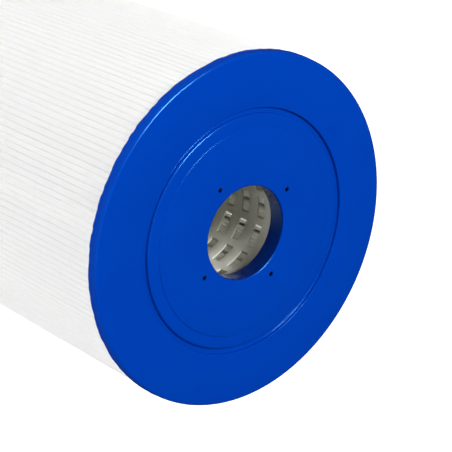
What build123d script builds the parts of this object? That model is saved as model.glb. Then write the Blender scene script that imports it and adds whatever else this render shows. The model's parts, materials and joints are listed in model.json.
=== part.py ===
# Pleated filter cartridge for a pool or spa, standing on its bottom end cap.
# Origin: the middle of the bottom face. +Z runs up the cartridge's axis. Millimetres and degrees.
from build123d import *
from math import cos, radians, sin
import os

# Overall sizes
cap_od = 216.0  # end cap over its moulded edge
overall_length = 257.0  # over the two raised discs
bore_dia = 57.2  # hole through each end cap

# End cap, cast around the pleats and the core
rim_round = 1.8  # round of the outer front edge
bead_height = 1.4  # lip of overflowed resin at the back of the rim
bead_proud = 0.5
groove_od = 150.8
groove_width = 3.3
groove_depth = 2.0
groove_floor = 1.0  # resin left between the groove and the pleat ends
pot_depth = 3.4  # how far the pleats sink into the cap
disc_dia = 128.6  # raised disc around the bore
disc_rise = 0.5
disc_round = 0.3
bore_round = 1.2
spigot_depth = 11.3  # bore wall below the cap's face
spigot_wall = 6.2  # resin between the bore and the core
spigot_round = 1.0
core_cover = 3.5  # resin between the cap's face and the core's end
pocket_wall = 0.4  # resin outside the pleat tips
land_round = 0.7  # round of both edges of the groove
pin_dia = 3.0  # holes left by the pins that held up the core in the mould
pin_count = 4
pin_turn = 45.0

# Core tube, a moulded lattice
core_wall = 4.8
sleeve_wall = 1.3
rib_count = 12
rib_width = 5.0
window_height = 6.3
window_pitch = 14.1
core_collar = 20.0  # plain length above the first row of windows
end_ring = 12.0  # solid ring at each end of the core
core_turn = 11.4  # turn of the middle of a window from +X

# Pleated media
pleat_count = 180
media_thickness = 0.5
pleat_gap = 0.1  # between the pleat tips and the wall of the cap's pocket
core_gap = 0.6  # between the core's ribs and the inner folds
seam_turn = 300.0
seam_inset = 8.0  # pleat tip to the seam's bead
seam_width = 14.0

# Sizes that follow
bore_radius = bore_dia / 2
groove_radius = groove_od / 2
media_cover = groove_depth + groove_floor
rim_height = media_cover + pot_depth
core_inner = bore_radius + spigot_wall
core_outer = core_inner + core_wall
pin_radius = (core_inner + core_outer) / 2
core_length = overall_length - 2 * (disc_rise + core_cover)
media_length = overall_length - 2 * (disc_rise + media_cover)
pocket_outer = cap_od / 2 - pocket_wall
pleat_radius = pocket_outer - pleat_gap
flank_count = 2 * pleat_count + 1  # the first and last flank lie side by side at the seam
flank_step = 360 / flank_count
half_cloth = media_thickness / 2
# A fold is an arc that touches two flanks, so its radius follows its distance from the axis.
fold_share = sin(radians(flank_step / 2))
inner_fold_centre = (core_outer + core_gap + half_cloth) / (1 - fold_share)
outer_fold_centre = (pleat_radius - half_cloth) / (1 + fold_share)


def rounded(profile, r, z, radius):
    corner = min(profile.vertices(), key=lambda v: abs(v.X - r) + abs(v.Y - z))
    return fillet(corner, radius)


def cap_profile():
    outer = cap_od / 2
    land = groove_radius - groove_width
    bead_top = bead_height - rim_height
    profile = make_face(
        Polyline(
            (bore_radius, -spigot_depth),
            (bore_radius, disc_rise),
            (disc_dia / 2, disc_rise),
            (disc_dia / 2, 0),
            (land, 0),
            (land, -groove_depth),
            (groove_radius, -groove_depth),
            (groove_radius, 0),
            (outer, 0),
            (outer, bead_top),
            (outer + bead_proud, bead_top - bead_proud),
            (outer + bead_proud, -rim_height),
            (pocket_outer, -rim_height),
            (pocket_outer, -media_cover),
            (core_outer, -media_cover),
            (core_outer, -core_cover),
            (core_inner, -core_cover),
            (core_inner, -spigot_depth),
            close=True,
        )
    )
    profile = rounded(profile, bore_radius, disc_rise, bore_round)
    profile = rounded(profile, bore_radius, -spigot_depth, spigot_round)
    profile = rounded(profile, disc_dia / 2, disc_rise, disc_round)
    profile = rounded(profile, land, 0, land_round)
    profile = rounded(profile, groove_radius, 0, land_round)
    return rounded(profile, outer, 0, rim_round)


def end_cap():
    # Face up, with its outer face at z = 0.
    cap = revolve(Plane.XZ * cap_profile(), Axis.Z)
    pin = Cylinder(pin_dia / 2, 2 * core_cover)
    for place in PolarLocations(pin_radius, pin_count, pin_turn):
        cap -= place * pin
    return cap


def core_tube():
    tube = Cylinder(core_outer, core_length) - Cylinder(core_inner, core_length)
    channel_length = core_length - 2 * end_ring
    channels = Cylinder(core_outer, channel_length) - Cylinder(core_inner + sleeve_wall, channel_length)
    ribs = [place * Box(core_wall * 2, rib_width, core_length) for place in rib_places(core_inner + core_wall)]
    for rib in ribs:
        channels -= rib
    tube -= channels
    row_count = int((core_length - 2 * core_collar - window_height) / window_pitch) + 1
    first_row = core_length / 2 - core_collar - window_height / 2
    slots = Cylinder(core_outer, window_height) - Cylinder(core_inner / 2, window_height)
    for rib in ribs:
        slots -= rib
    for row in range(row_count):
        tube -= Pos(0, 0, first_row - row * window_pitch) * slots
    return Pos(0, 0, overall_length / 2) * tube


def rib_places(radius):
    return PolarLocations(radius, rib_count, core_turn + 180 / rib_count)


def polar(radius, angle):
    return Vector(radius * cos(radians(angle)), radius * sin(radians(angle)))


def flank_angle(flank):
    return seam_turn + flank * flank_step


def beside(flank, radius, offset):
    # A point on a flank, moved off its middle towards the next flank.
    return polar(radius, flank_angle(flank)) + polar(offset, flank_angle(flank) + 90)


def fold_arc(fold, side):
    # The cloth's surface around the fold between two flanks; side is 1 towards the first flank's left.
    inner = fold % 2 == 0
    centre_radius = inner_fold_centre if inner else outer_fold_centre
    away = 180 if inner else 0
    radius = centre_radius * fold_share + (side if inner else -side) * half_cloth
    angle = flank_angle(fold) + flank_step / 2
    centre = polar(centre_radius, angle)
    first = centre + polar(radius, flank_angle(fold) - 90)
    middle = centre + polar(radius, angle + away)
    last = centre + polar(radius, flank_angle(fold + 1) + 90)
    return first, middle, last


def cloth_side(side):
    # One surface of the cloth, from the first flank's outer end to the last flank's inner end.
    start = beside(0, outer_fold_centre * cos(radians(flank_step / 2)), -side * half_cloth)
    end = beside(flank_count - 1, inner_fold_centre * cos(radians(flank_step / 2)), -side * half_cloth)
    edges = []
    at = start
    for fold in range(flank_count - 1):
        first, middle, last = fold_arc(fold, side)
        edges.append(Line(at, first))
        edges.append(ThreePointArc(first, middle, last))
        at = last
    edges.append(Line(at, end))
    return edges, start, end


def pleated_media():
    left, left_start, left_end = cloth_side(1)
    right, right_start, right_end = cloth_side(-1)
    ends = [Line(left_end, right_end), Line(right_start, left_start)]
    section = Face(Wire(left + ends + right))
    return Pos(0, 0, disc_rise + media_cover) * extrude(section, media_length, dir=(0, 0, 1))


def seam_bond():
    # The bead fills the wedge between the first and the last flank.
    outer = pleat_radius - seam_inset
    inner = outer - seam_width
    section = make_face(
        Polyline(
            beside(0, inner, -half_cloth),
            beside(0, outer, -half_cloth),
            beside(flank_count - 1, outer, half_cloth),
            beside(flank_count - 1, inner, half_cloth),
            close=True,
        )
    )
    return Pos(0, 0, disc_rise + media_cover) * extrude(section, media_length, dir=(0, 0, 1))


def main():
    os.makedirs("parts", exist_ok=True)
    top_place = Pos(0, 0, overall_length - disc_rise)
    bottom_place = Pos(0, 0, disc_rise) * Rot(180, 0, 0)
    nodes = {
        "top_end_cap": top_place * end_cap(),
        "bottom_end_cap": bottom_place * end_cap(),
        "core_tube": core_tube(),
        "pleated_media": pleated_media(),
        "seam_bond": seam_bond(),
    }
    for name, solid in nodes.items():
        export_step(solid, f"parts/{name}.step")


main()
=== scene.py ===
import json
import math
import random

import bmesh
import bpy
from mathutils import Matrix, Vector, noise


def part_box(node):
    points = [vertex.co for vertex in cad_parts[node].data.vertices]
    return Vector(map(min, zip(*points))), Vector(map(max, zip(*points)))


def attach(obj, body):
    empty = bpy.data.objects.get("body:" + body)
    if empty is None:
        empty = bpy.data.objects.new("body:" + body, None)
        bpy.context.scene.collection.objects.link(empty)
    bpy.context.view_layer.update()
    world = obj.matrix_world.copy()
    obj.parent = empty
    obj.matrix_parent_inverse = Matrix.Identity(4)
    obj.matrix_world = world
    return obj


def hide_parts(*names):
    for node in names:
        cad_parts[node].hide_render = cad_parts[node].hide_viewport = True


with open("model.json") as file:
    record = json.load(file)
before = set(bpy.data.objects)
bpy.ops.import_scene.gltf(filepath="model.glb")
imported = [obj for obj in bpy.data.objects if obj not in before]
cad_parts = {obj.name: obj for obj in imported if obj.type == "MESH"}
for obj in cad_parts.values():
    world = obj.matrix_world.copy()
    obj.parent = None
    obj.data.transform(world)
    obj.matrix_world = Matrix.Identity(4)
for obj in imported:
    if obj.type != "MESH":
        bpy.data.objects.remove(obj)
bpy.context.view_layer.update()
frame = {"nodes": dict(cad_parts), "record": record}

mounts = {mount["name"]: mount for mount in frame["record"]["mounts"]}
boreRadius = mounts["top_bore"]["dims"]["r_mm"] / 1000
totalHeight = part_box("top_end_cap")[1].z
print("frame loaded, height", round(totalHeight, 4))


# camera and lights

view = {
    "lens": 138.56,
    "sensor": 36.0,
    "distance": 1.0166,
    "azimuth": 160.7,
    "elevation": 44.66,
    "turn": (-22.147, -39.873, 13.024),  # degrees about X, Y and Z
    "below": 0.00158,  # the point looked round, under the top of the cartridge
    "clip": 0.01,
}


def addCamera():
    cameraData = bpy.data.cameras.new("camera")
    cameraData.lens = view["lens"]
    cameraData.sensor_width = view["sensor"]
    cameraData.clip_start = view["clip"]
    camera = bpy.data.objects.new("camera", cameraData)
    bpy.context.scene.collection.objects.link(camera)
    azimuth = math.radians(view["azimuth"])
    elevation = math.radians(view["elevation"])
    flat = view["distance"] * math.cos(elevation)
    height = totalHeight - view["below"] + view["distance"] * math.sin(elevation)
    camera.location = (flat * math.cos(azimuth), flat * math.sin(azimuth), height)
    camera.rotation_euler = [math.radians(angle) for angle in view["turn"]]
    bpy.context.scene.camera = camera


studio = {
    "key": {"azimuth": 90, "elevation": 62.5, "distance": 2.0, "size": (0.8, 0.8), "power": 62.0},
    "side": {"azimuth": 165, "elevation": 52, "distance": 2.0, "size": (2.8, 0.06), "power": 5.2},
    "fill": {"azimuth": 190, "elevation": 12, "distance": 2.0, "size": (2.0, 1.6), "power": 36.0},
    "aimHeight": 0.25,
    "sky": 0.02,  # lights the part; the camera sees plain white
    "floorSide": 8.0,
}


def addLight(name, setting):
    lightData = bpy.data.lights.new(name, "AREA")
    lightData.shape = "RECTANGLE"
    lightData.size, lightData.size_y = setting["size"]
    lightData.energy = setting["power"]
    light = bpy.data.objects.new(name, lightData)
    bpy.context.scene.collection.objects.link(light)
    azimuth = math.radians(setting["azimuth"])
    elevation = math.radians(setting["elevation"])
    flat = math.cos(elevation)
    away = Vector((flat * math.cos(azimuth), flat * math.sin(azimuth), math.sin(elevation)))
    light.location = Vector((0, 0, studio["aimHeight"])) + away * setting["distance"]
    light.rotation_euler = away.to_track_quat("Z", "Y").to_euler()
    return light


def addSky():
    world = bpy.data.worlds.new("studio")
    bpy.context.scene.world = world
    world.use_nodes = True
    tree = world.node_tree
    background = tree.nodes["Background"]
    background.inputs["Color"].default_value = (1, 1, 1, 1)
    seen = tree.nodes.new("ShaderNodeLightPath")
    strength = tree.nodes.new("ShaderNodeMapRange")
    strength.inputs["To Min"].default_value = studio["sky"]
    strength.inputs["To Max"].default_value = 1.0
    tree.links.new(seen.outputs["Is Camera Ray"], strength.inputs["Value"])
    tree.links.new(strength.outputs["Result"], background.inputs["Strength"])


addCamera()
addLight("keyLight", studio["key"])
addLight("sideLight", studio["side"])
fillLight = addLight("fillLight", studio["fill"])
fillLight.visible_glossy = False  # it makes no highlights
addSky()
bpy.context.scene.view_settings.view_transform = "Standard"
print("camera and lights set")


# shader maths


class Wave:
    # a socket that adds its own Math nodes
    def __init__(self, board, socket):
        self.board = board
        self.socket = socket

    def math(self, operation, *others, clamp=False):
        inputs = dict(enumerate([self, *others]))
        return self.board.node("ShaderNodeMath", {"operation": operation, "use_clamp": clamp}, inputs)

    def __add__(self, other):
        return self.math("ADD", other)

    def __sub__(self, other):
        return self.math("SUBTRACT", other)

    def __rsub__(self, other):
        return self.math("MULTIPLY_ADD", -1.0, other)

    def __mul__(self, other):
        return self.math("MULTIPLY", other)

    __radd__ = __add__
    __rmul__ = __mul__


class Board:
    # one material's node tree
    def __init__(self, name):
        self.material = bpy.data.materials.new(name)
        self.material.use_nodes = True
        self.tree = self.material.node_tree
        self.shader = self.tree.nodes["Principled BSDF"]

    def plug(self, socket, value):
        if isinstance(value, Wave):
            self.tree.links.new(value.socket, socket)
        else:
            socket.default_value = value

    def node(self, kind, settings=None, inputs=None, output=0):
        made = self.tree.nodes.new(kind)
        for name, value in (settings or {}).items():
            setattr(made, name, value)
        for name, value in (inputs or {}).items():
            self.plug(made.inputs[name], value)
        return Wave(self, made.outputs[output])

    def objectPlace(self):
        return self.node("ShaderNodeTexCoord", output="Object")

    def noise(self, place, scale, detail=2.0, roughness=0.5):
        inputs = {"Vector": place, "Scale": scale, "Detail": detail, "Roughness": roughness}
        return self.node("ShaderNodeTexNoise", {}, inputs, output="Fac")

    def stretch(self, place, scale):
        return self.node("ShaderNodeMapping", {}, {"Vector": place, "Scale": scale})

    def mix(self, amount, first, second):
        # the colour sockets of a Mix node are its seventh, its eighth and its third output
        inputs = {"Factor": amount, 6: first, 7: second}
        return self.node("ShaderNodeMix", {"data_type": "RGBA"}, inputs, output=2)

    def parts(self, place):
        split = self.node("ShaderNodeSeparateXYZ", {}, {"Vector": place})
        return [Wave(self, socket) for socket in split.socket.node.outputs]

    def offAxis(self, place):
        # how far a place is from the cartridge's axis
        flat = self.stretch(place, (1, 1, 0))
        return self.node("ShaderNodeVectorMath", {"operation": "LENGTH"}, {0: flat}, output="Value")

    def below(self, value, low, high):
        # 1 under low, 0 over high and a smooth step between them
        inputs = {"Value": value, "From Min": low, "From Max": high, "To Min": 1.0, "To Max": 0.0}
        return self.node("ShaderNodeMapRange", {"interpolation_type": "SMOOTHSTEP"}, inputs)

    def bump(self, height, strength, distance):
        inputs = {"Height": height, "Strength": strength, "Distance": distance}
        return self.node("ShaderNodeBump", {}, inputs, output="Normal")

    def finish(self, **values):
        names = {name.replace(" ", "").lower(): name for name in self.shader.inputs.keys()}
        for name, value in values.items():
            self.plug(self.shader.inputs[names[name.lower()]], value)
        return self.material


resinLook = {
    "face": [(0.0, 0.0315, 0.288, 1), (0.0, 0.0365, 0.315, 1)],
    # painted shade: a darker blue on the bore wall stands in for the shade inside the bore
    "bore": (0.0, 0.009, 0.10, 1),
    # painted shade: a near-black blue fills the pin holes where they lie in shade
    "pinHoleShade": (0.0, 0.001, 0.010, 1),
    "boreEdge": 0.0004,  # the painted shade on the bore's wall ends this far outside it
    "pinReach": 0.0395,  # the pin holes are nearer the axis than this
    "pinDepth": 0.0008,  # and get their painted shade this far under the face
    "cloudy": 38.0,
    "grain": 900.0,
    "flow": 160.0,
    "streaks": 42.0,
    "rough": 0.13,
    "roughFlow": 0.08,
    "bump": (0.2, 0.0004),
}


def resinMaterial():
    look = resinLook
    board = Board("castResin")
    place = board.objectPlace()
    cloudy = board.noise(place, look["cloudy"], 3.0)
    grain = board.noise(place, look["grain"], 2.0)
    flow = board.noise(place, look["flow"], 2.0)
    flat = board.stretch(place, (1, 1, 0))
    radial = board.node("ShaderNodeVectorMath", {"operation": "NORMALIZE"}, {0: flat})
    streaks = board.noise(radial, look["streaks"], 3.0, 0.7)
    offAxis = board.offAxis(place)
    inBoreShade = offAxis.math("LESS_THAN", boreRadius + look["boreEdge"])
    offMiddle = (board.parts(place)[2] - totalHeight / 2).math("ABSOLUTE")
    underFace = offMiddle.math("LESS_THAN", totalHeight / 2 - look["pinDepth"])
    # mask for the painted shade in the pin holes
    inPinShade = offAxis.math("LESS_THAN", look["pinReach"]) * underFace
    color = board.mix(cloudy, *look["face"])
    # painted shade darkens the bore wall
    color = board.mix(inBoreShade, color, look["bore"])
    # painted shade fills the pin holes with near-black blue
    color = board.mix(inPinShade * (1.0 - inBoreShade), color, look["pinHoleShade"])
    height = flow * 0.35 + grain * 0.05 + streaks * 0.35
    return board.finish(
        baseColor=color,
        roughness=look["rough"] + flow * look["roughFlow"],
        normal=board.bump(height, *look["bump"]),
        specularIorLevel=0.55,
        specularTint=(0.15, 0.6, 1.0, 1),
    )


pleats = {
    "count": 180,
    "thickness": 0.0005,
    "tipRadius": 0.10725,
    "rootRadius": 0.04105,
    "seamTurn": 300.0,
    "foldRise": 0.0003,
    "tipPoints": 7,
    "rootPoints": 3,
    "valleyShare": 0.30,
    "tipUneven": 0.09,
    "rootUneven": 0.04,
    # degrees from +X where inner folds stand apart, and by how much
    "gaps": [(-41.9, 2.6), (-12.2, 2.4), (-7.4, 3.4), (7.1, 4.4), (118.0, 2.5), (196.0, 3.0), (251.0, 2.2)],
    "gapReach": 24.0,
    "litGap": -7.4,  # light comes in through this one
    "litWidth": 4.0,
    "wander": 0.00022,
    "wanderAcross": 60,
    "wanderUp": 9,
    "rows": 20,
    "smoothAngle": 50,
    "seed": 7,
}


clothLook = {
    "plain": [(0.875, 0.875, 0.82, 1), (0.925, 0.925, 0.87, 1)],
    "wideTone": (0.905, 0.905, 0.85, 1),
    "fibres": 1900.0,
    "blotch": 260.0,
    "wide": 22.0,
    "bump": (0.3, 0.0002),
    "rough": 0.82,
    "roughFibres": 0.15,
    "scatter": 0.004,
    # light that filters through the pleats
    "noGlow": (0, 0, 0, 1),
    "innerGlow": (0.035, 0.0345, 0.030, 1),
    "inner": (0.041, 0.046),  # distances from the axis between which it fades
    "gapGlow": (0.6, 0.6, 0.56, 1),
    "gapReach": 0.07,
    # in the valleys turned away from the key light, and in those that face it
    "valleyGlow": [(0.034, 0.034, 0.032, 1), (0.08, 0.08, 0.075, 1)],
    "valleyFloor": 0.105,
    "valleyTop": (0.1066, 0.1072),
}


def clothMaterial():
    look = clothLook
    board = Board("spunCloth")
    place = board.objectPlace()
    fibres = board.noise(board.stretch(place, (1, 1, 0.35)), look["fibres"], 4.0, 0.65)
    blotch = board.noise(place, look["blotch"], 3.0)
    wide = board.noise(place, look["wide"], 2.0)
    color = board.mix(wide * 0.5, board.mix(blotch, *look["plain"]), look["wideTone"])
    offAxis = board.offAxis(place)
    x, y, _ = board.parts(place)
    turn = y.math("ARCTAN2", x)
    glow = board.mix(board.below(offAxis, *look["inner"]), look["noGlow"], look["innerGlow"])
    offGap = (turn - math.radians(pleats["litGap"])).math("ABSOLUTE")
    inGap = offGap.math("LESS_THAN", math.radians(pleats["litWidth"]) / 2)
    glow = board.mix(inGap * offAxis.math("LESS_THAN", look["gapReach"]), glow, look["gapGlow"])
    facing = (turn - math.radians(studio["key"]["azimuth"])).math("COSINE", clamp=True)
    overFloor = offAxis.math("GREATER_THAN", look["valleyFloor"])
    inValley = overFloor * board.below(offAxis, *look["valleyTop"])
    glow = board.mix(inValley, glow, board.mix(facing, *look["valleyGlow"]))
    return board.finish(
        baseColor=color,
        roughness=look["rough"] + fibres * look["roughFibres"],
        normal=board.bump(fibres * 0.6 + blotch * 0.15, *look["bump"]),
        specularIorLevel=0.2,
        emissionColor=glow,
        emissionStrength=1.0,
        subsurfaceWeight=1.0,
        subsurfaceRadius=(1.0, 1.0, 0.95),
        subsurfaceScale=look["scatter"],
    )


coreLook = {
    "plain": [(0.54, 0.54, 0.47, 1), (0.61, 0.61, 0.54, 1)],
    "cloudy": 60.0,
    "grain": 1400.0,
    "rough": 0.42,
    "roughCloudy": 0.16,
    "bump": (0.3, 0.0005),
}


def coreMaterial():
    look = coreLook
    board = Board("mouldedCore")
    place = board.objectPlace()
    cloudy = board.noise(place, look["cloudy"], 3.0)
    grain = board.noise(place, look["grain"], 2.0)
    return board.finish(
        baseColor=board.mix(cloudy, *look["plain"]),
        roughness=look["rough"] + cloudy * look["roughCloudy"],
        normal=board.bump(cloudy * 0.5 + grain * 0.12, *look["bump"]),
        specularIorLevel=0.4,
    )


glueLook = {
    "plain": [(0.72, 0.68, 0.55, 1), (0.82, 0.79, 0.68, 1)],
    "lumps": 320.0,
    "rough": 0.3,
    "roughLumps": 0.2,
    "bump": (0.6, 0.0008),
}


def glueMaterial():
    look = glueLook
    board = Board("setGlue")
    lumps = board.noise(board.objectPlace(), look["lumps"], 3.0)
    return board.finish(
        baseColor=board.mix(lumps, *look["plain"]),
        roughness=look["rough"] + lumps * look["roughLumps"],
        normal=board.bump(lumps, *look["bump"]),
        specularIorLevel=0.5,
    )


floorLook = {
    "plain": [(0.41, 0.41, 0.41, 1), (0.43, 0.43, 0.43, 1)],
    "tone": 9.0,
    "rough": 0.9,
    "glow": 0.88,
}


def floorMaterial():
    look = floorLook
    board = Board("paleFloor")
    tone = board.noise(board.objectPlace(), look["tone"])
    return board.finish(
        baseColor=board.mix(tone, *look["plain"]),
        roughness=look["rough"],
        emissionColor=(1, 1, 1, 1),
        emissionStrength=look["glow"],
    )


resin = resinMaterial()
cloth = clothMaterial()
corePlastic = coreMaterial()
glue = glueMaterial()
print("materials made")


# modelling helpers

meshing = {
    "samePoint": 0.000001,
    "seedSize": 0.001,
    "roundSegments": 5,
    "smoothAngle": 35,
}


def deselectAll():
    bpy.ops.object.select_all(action="DESELECT")


def makeActive(piece):
    deselectAll()
    piece.select_set(True)
    bpy.context.view_layer.objects.active = piece


def dress(piece, material, slot, *nodes):
    piece.data.materials.clear()
    piece.data.materials.append(material)
    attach(piece, "root")
    if nodes:
        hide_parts(*nodes)


def spinOutline(name, corners, steps):
    # corners are (radius, height, rounding) round the section of a ring
    start = Vector((corners[0][0], 0, corners[0][1]))
    deselectAll()
    bpy.ops.mesh.primitive_plane_add(size=meshing["seedSize"], location=start)
    piece = bpy.context.object
    piece.name = name
    bpy.ops.object.transform_apply(location=True, rotation=True, scale=True)
    bpy.ops.object.mode_set(mode="EDIT")
    bpy.ops.mesh.select_all(action="SELECT")
    bpy.ops.mesh.merge(type="CENTER")
    last = start
    for radius, height, rounding in corners[1:]:
        point = Vector((radius, 0, height))
        bpy.ops.mesh.extrude_region_move(TRANSFORM_OT_translate={"value": point - last})
        last = point
    mesh = bmesh.from_edit_mesh(piece.data)
    mesh.verts.ensure_lookup_table()
    mesh.verts[0].select = True
    bmesh.update_edit_mesh(piece.data)
    bpy.ops.mesh.edge_face_add()
    for radius, height, rounding in corners:
        if rounding:
            selectNear(piece, Vector((radius, 0, height)))
            bpy.ops.mesh.bevel(offset=rounding, segments=meshing["roundSegments"], affect="VERTICES")
    bpy.ops.mesh.select_all(action="SELECT")
    bpy.ops.mesh.spin(steps=steps, angle=math.tau, center=(0, 0, 0), axis=(0, 0, 1))
    bpy.ops.mesh.select_all(action="SELECT")
    bpy.ops.mesh.remove_doubles(threshold=meshing["samePoint"])
    bpy.ops.mesh.normals_make_consistent(inside=False)
    bpy.ops.object.mode_set(mode="OBJECT")
    return piece


def selectNear(piece, point):
    bpy.ops.mesh.select_all(action="DESELECT")
    mesh = bmesh.from_edit_mesh(piece.data)
    nearest = min(mesh.verts, key=lambda vert: (vert.co - point).length)
    nearest.select = True
    mesh.select_flush(True)
    bmesh.update_edit_mesh(piece.data)


def cutWith(piece, cutter):
    makeActive(piece)
    cut = piece.modifiers.new("cut", "BOOLEAN")
    cut.operation = "DIFFERENCE"
    cut.solver = "EXACT"
    cut.object = cutter
    bpy.ops.object.modifier_apply(modifier=cut.name)
    bpy.data.objects.remove(cutter)
    bpy.ops.object.mode_set(mode="EDIT")
    bpy.ops.mesh.select_all(action="SELECT")
    bpy.ops.mesh.remove_doubles(threshold=meshing["samePoint"])
    bpy.ops.object.mode_set(mode="OBJECT")


capShape = {
    "outerRadius": 0.108,
    "edgeRound": 0.0018,
    "lipProud": 0.0005,
    "lipHeight": 0.0014,
    "rimHeight": 0.0064,
    "pocketRadius": 0.1076,
    "pocketCover": 0.003,
    "grooveOuter": 0.0754,
    "grooveInner": 0.0721,
    "grooveDepth": 0.002,
    "innerLandRound": 0.0014,
    "outerLandRound": 0.0003,
    "discRadius": 0.0643,
    "discRise": 0.0005,
    "discRound": 0.00045,
    "boreRound": 0.0012,
    "boreBackRound": 0.001,
    "grooveRound": 0.0004,
    "lipRound": 0.0003,
    "spigotRound": 0.0005,
    "spigotDepth": 0.0113,
    "spigotRadius": 0.0348,
    "coreRadius": 0.0396,
    "coreCover": 0.0035,
    "pinRadius": 0.0015,
    "pinCircle": 0.0372,
    "pinCount": 4,
    "pinLength": 0.02,
    "pinSides": 32,
    "steps": 720,
    "raggedPleats": 180,  # the back edge steps with the pleats behind it
    "raggedRise": 0.0005,
    "raggedIn": 0.00035,
    "raggedFlat": 0.6,  # the share of a step before it blends into the next
    "stepShare": 0.8,
    "slowShare": 1.4,
    "slowScale": 70,
    "inScale": 200,
    "lipSlack": 0.00001,
    "wallSlack": 0.0001,
    "seed": 11,
}


def endCap(name):
    # made face up with its outer face at z = 0
    s = capShape
    rise = s["discRise"]
    lipTop = s["lipHeight"] - s["rimHeight"]
    lipRadius = s["outerRadius"] + s["lipProud"]
    corners = [
        (boreRadius, -s["spigotDepth"], s["boreBackRound"]),
        (boreRadius, rise, s["boreRound"]),
        (s["discRadius"], rise, s["discRound"]),
        (s["discRadius"], 0, 0),
        (s["grooveInner"], 0, s["innerLandRound"]),
        (s["grooveInner"], -s["grooveDepth"], s["grooveRound"]),
        (s["grooveOuter"], -s["grooveDepth"], s["grooveRound"]),
        (s["grooveOuter"], 0, s["outerLandRound"]),
        (s["outerRadius"], 0, s["edgeRound"]),
        (s["outerRadius"], lipTop, s["lipRound"]),
        (lipRadius, lipTop - s["lipProud"], s["lipRound"]),
        (lipRadius, -s["rimHeight"], s["lipRound"]),
        (s["pocketRadius"], -s["rimHeight"], 0),
        (s["pocketRadius"], -s["pocketCover"], 0),
        (s["coreRadius"], -s["pocketCover"], 0),
        (s["coreRadius"], -s["coreCover"], 0),
        (s["spigotRadius"], -s["coreCover"], 0),
        (s["spigotRadius"], -s["spigotDepth"], s["spigotRound"]),
    ]
    cap = spinOutline(name, corners, s["steps"])
    raggedEdge(cap)
    pins = []
    for turn in range(s["pinCount"]):
        angle = math.tau * (turn + 0.5) / s["pinCount"]
        spot = (s["pinCircle"] * math.cos(angle), s["pinCircle"] * math.sin(angle), 0)
        deselectAll()
        bpy.ops.mesh.primitive_cylinder_add(
            vertices=s["pinSides"], radius=s["pinRadius"], depth=s["pinLength"], location=spot
        )
        pins.append(bpy.context.object)
    makeActive(pins[0])
    for pin in pins:
        pin.select_set(True)
    bpy.ops.object.join()
    cutWith(cap, bpy.context.object)
    return cap


def raggedEdge(cap):
    # the resin stops unevenly where it met the pleats
    s = capShape
    draws = random.Random(s["seed"])
    steps = [draws.uniform(-1, 1) for _ in range(s["raggedPleats"])]
    lipTop = s["lipHeight"] - s["rimHeight"]
    for vert in cap.data.vertices:
        radius = math.hypot(vert.co.x, vert.co.y)
        if vert.co.z > lipTop + s["lipSlack"] or radius < s["outerRadius"] - s["wallSlack"]:
            continue
        turn = math.atan2(vert.co.y, vert.co.x) / math.tau % 1 * s["raggedPleats"]
        pleat = int(turn) % s["raggedPleats"]
        blend = min(max((turn - int(turn) - s["raggedFlat"]) / (1 - s["raggedFlat"]), 0), 1)
        step = steps[pleat] * (1 - blend) + steps[(pleat + 1) % s["raggedPleats"]] * blend
        slow = noise.noise(vert.co.xy.to_3d() * s["slowScale"])
        low = (lipTop - vert.co.z) / s["lipHeight"]
        vert.co.z += s["raggedRise"] * low * (s["stepShare"] * step + s["slowShare"] * slow)
        bite = 0.5 + 0.5 * noise.noise(vert.co.xy.to_3d() * s["inScale"])
        inward = 1 - s["raggedIn"] * bite / radius
        vert.co.x *= inward
        vert.co.y *= inward


def placeCaps():
    topCap = endCap("topCap")
    bottomCap = topCap.copy()
    bottomCap.data = topCap.data.copy()
    bottomCap.name = "bottomCap"
    bpy.context.scene.collection.objects.link(bottomCap)
    rise = capShape["discRise"]
    topCap.location.z = totalHeight - rise
    bottomCap.rotation_euler.x = math.pi
    bottomCap.location.z = rise
    for cap, node in ((topCap, "top_end_cap"), (bottomCap, "bottom_end_cap")):
        makeActive(cap)
        bpy.ops.object.transform_apply(location=True, rotation=True, scale=True)
        bpy.ops.object.shade_smooth_by_angle(angle=math.radians(meshing["smoothAngle"]))
        dress(cap, resin, "cap_resin", node)


placeCaps()
print("end caps made")


coreShape = {
    "innerRadius": 0.0348,
    "sleeveWall": 0.0013,
    "ribRise": 0.0035,
    "ribCount": 12,
    "turn": 11.4,  # degrees from +X to the middle of a window
    "ribSegments": 2,
    "windowSegments": 6,
    "endRing": 0.012,
    "collar": 0.020,
    "windowHeight": 0.0063,
    "pitch": 0.0141,
    "rows": 15,
    "outerShare": 0.75,  # faces further out than this share of the wall are its outside
    "edgeRound": 0.0003,
    "edgeSegments": 2,
    "edgeAngle": 40,
}


def coreLevels(length):
    # heights of the edge loops, and which of the steps between them hold windows
    s = coreShape
    levels = [0, s["endRing"]]
    windows = set()
    top = length - s["collar"]
    for row in range(s["rows"] - 1, -1, -1):
        upper = top - row * s["pitch"]
        windows.add(len(levels))
        levels += [upper - s["windowHeight"], upper]
    return levels + [length - s["endRing"], length], windows


def markFaces(piece, wanted):
    bpy.ops.mesh.select_all(action="DESELECT")
    mesh = bmesh.from_edit_mesh(piece.data)
    for face in mesh.faces:
        face.select_set(wanted(face.calc_center_median()))
    bmesh.update_edit_mesh(piece.data)


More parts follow.
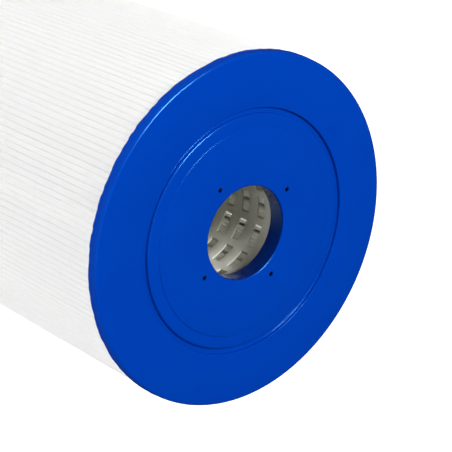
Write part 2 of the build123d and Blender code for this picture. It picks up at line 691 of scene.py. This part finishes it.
def latticeCore():
    s = coreShape
    low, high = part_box("core_tube")
    length = high.z - low.z
    levels, windows = coreLevels(length)
    perRib = s["ribSegments"] + s["windowSegments"]
    segments = s["ribCount"] * perRib
    step = math.tau / segments
    first = math.radians(s["turn"]) - step * s["windowSegments"] / 2
    deselectAll()
    bpy.ops.mesh.primitive_circle_add(
        vertices=segments,
        radius=s["innerRadius"],
        fill_type="NOTHING",
        location=(0, 0, low.z),
        rotation=(0, 0, first),
    )
    piece = bpy.context.object
    piece.name = "latticeCore"
    bpy.ops.object.transform_apply(location=True, rotation=True, scale=True)
    bpy.ops.object.mode_set(mode="EDIT")
    bpy.ops.mesh.select_all(action="SELECT")
    for below, above in zip(levels, levels[1:]):
        bpy.ops.mesh.extrude_region_move(TRANSFORM_OT_translate={"value": (0, 0, above - below)})

    def alongBay(center):
        # how many segments round from the start of its window
        return (math.atan2(center.y, center.x) - first) / step % perRib

    def inWindow(center):
        level = sum(center.z - low.z > height for height in levels) - 1
        return alongBay(center) < s["windowSegments"] and level in windows

    def onRib(center):
        height = center.z - low.z
        inRing = height < s["endRing"] or height > length - s["endRing"]
        outside = math.hypot(center.x, center.y) > s["innerRadius"] + s["sleeveWall"] * s["outerShare"]
        return outside and (inRing or alongBay(center) > s["windowSegments"])

    markFaces(piece, inWindow)
    bpy.ops.mesh.delete(type="FACE")
    bpy.ops.mesh.select_all(action="SELECT")
    bpy.ops.mesh.normals_make_consistent(inside=False)
    bpy.ops.object.mode_set(mode="OBJECT")
    wall = piece.modifiers.new("wall", "SOLIDIFY")
    wall.thickness = s["sleeveWall"]
    wall.offset = 1
    wall.use_even_offset = True
    bpy.ops.object.modifier_apply(modifier=wall.name)
    bpy.ops.object.mode_set(mode="EDIT")
    bpy.ops.mesh.select_mode(type="FACE")
    markFaces(piece, onRib)
    bpy.ops.mesh.extrude_region_shrink_fatten(TRANSFORM_OT_shrink_fatten={"value": s["ribRise"]})
    bpy.ops.mesh.select_all(action="SELECT")
    bpy.ops.mesh.normals_make_consistent(inside=False)
    bpy.ops.mesh.select_mode(type="VERT")
    bpy.ops.object.mode_set(mode="OBJECT")
    edge = piece.modifiers.new("edge", "BEVEL")
    edge.width = s["edgeRound"]
    edge.segments = s["edgeSegments"]
    edge.limit_method = "ANGLE"
    edge.angle_limit = math.radians(s["edgeAngle"])
    bpy.ops.object.modifier_apply(modifier=edge.name)
    bpy.ops.object.shade_smooth_by_angle(angle=math.radians(meshing["smoothAngle"]))
    dress(piece, corePlastic, "core_plastic", "core_tube")
    return piece


corePiece = latticeCore()
print("lattice core made,", len(corePiece.data.polygons), "faces")


def unevenAngles(valley, amount, seed):
    # the angle of each flank; valley is the share of an even space between two pleats
    draws = random.Random(seed)
    spaces = []
    for _ in range(pleats["count"]):
        spaces.append(valley)
        spaces.append((2 - valley) * draws.gauss(1, amount))
    even = math.tau / (2 * pleats["count"] + 1)  # the seam's gap stays an even space
    share = even * len(spaces) / sum(spaces)
    angles = [math.radians(pleats["seamTurn"])]
    for space in spaces:
        angles.append(angles[-1] + space * share)
    return angles


def foldPoints(first, second, outward, rise, count):
    middle = (first + second) / 2
    half = (second - first) / 2
    points = []
    for step in range(count):
        turn = math.pi * step / (count - 1)
        points.append(middle - half * math.cos(turn) + outward * rise * math.sin(turn))
    return points


def openGaps(angles):
    # pushes the inner folds aside where two pleats stand apart
    opened = list(angles)
    for middle, width in pleats["gaps"]:
        between = min(range(1, len(angles) - 1, 2), key=lambda fold: abs(turnFrom(angles, fold, middle)))
        centre = (angles[between] + angles[between + 1]) / 2
        for flank, angle in enumerate(angles):
            away = (angle - centre + math.pi) % math.tau - math.pi
            near = max(1 - abs(away) / math.radians(pleats["gapReach"]), 0)
            opened[flank] += math.copysign(math.radians(width) / 2 * near, away)
    return opened


def turnFrom(angles, fold, degrees):
    middle = (angles[fold] + angles[fold + 1]) / 2
    return (middle - math.radians(degrees) + math.pi) % math.tau - math.pi


def onCircle(angles, radius):
    return [Vector((math.cos(angle), math.sin(angle))) * radius for angle in angles]


def pleatedPath():
    # the middle of the cloth seen from above, from the first flank's tip to the last flank's root
    flanks = 2 * pleats["count"] + 1
    tips = unevenAngles(pleats["valleyShare"], pleats["tipUneven"], pleats["seed"])
    roots = openGaps(unevenAngles(1.0, pleats["rootUneven"], pleats["seed"] + 1))
    tip = onCircle(tips, pleats["tipRadius"] - pleats["foldRise"])
    root = onCircle(roots, pleats["rootRadius"])
    path = [tip[0], tip[0].lerp(root[0], 0.5)]
    for fold in range(flanks - 1):
        inner = fold % 2 == 0
        ends = root if inner else tip
        count = pleats["rootPoints"] if inner else pleats["tipPoints"]
        rise = -pleats["foldRise"] if inner else pleats["foldRise"]
        outward = (ends[fold] + ends[fold + 1]).normalized()
        path += foldPoints(ends[fold], ends[fold + 1], outward, rise, count)
        path.append(tip[fold + 1].lerp(root[fold + 1], 0.5))
    path.append(root[-1])
    return path


def pleatedCloth():
    path = pleatedPath()
    rows = pleats["rows"]
    low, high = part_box("pleated_media")
    deselectAll()
    bpy.ops.mesh.primitive_grid_add(x_subdivisions=len(path) - 1, y_subdivisions=rows - 1, size=1)
    piece = bpy.context.object
    piece.name = "pleatedCloth"
    places = []
    for row in range(rows):
        height = low.z + (high.z - low.z) * row / (rows - 1)
        for point in path:
            across = point * pleats["wanderAcross"]
            drift = noise.noise(Vector((across.x, across.y, height * pleats["wanderUp"])))
            side = Vector((-point.y, point.x)).normalized() * drift * pleats["wander"]
            places.extend((point.x + side.x, point.y + side.y, height))
    piece.data.vertices.foreach_set("co", places)
    piece.data.update()
    makeActive(piece)
    thick = piece.modifiers.new("thick", "SOLIDIFY")
    thick.thickness = pleats["thickness"]
    thick.offset = 0
    bpy.ops.object.modifier_apply(modifier=thick.name)
    bpy.ops.object.shade_smooth_by_angle(angle=math.radians(pleats["smoothAngle"]))
    return piece, path


clothPiece, clothPath = pleatedCloth()
clothRun = sum((b - a).length for a, b in zip(clothPath, clothPath[1:]))
dress(clothPiece, cloth, "media_cloth", "pleated_media")
print("pleated cloth made,", round(clothRun, 2), "m long when flat")


def dressNode(name, material):
    node = frame["nodes"][name]
    node.data.materials.clear()
    node.data.materials.append(material)


dressNode("seam_bond", glue)
print("seam dressed")


def addFloor():
    deselectAll()
    bpy.ops.mesh.primitive_plane_add(size=studio["floorSide"], location=(0, 0, 0))
    floor = bpy.context.object
    floor.name = "floor"
    floor.data.materials.append(floorMaterial())
    floor.visible_glossy = False  # the resin's sides reflect no floor


addFloor()
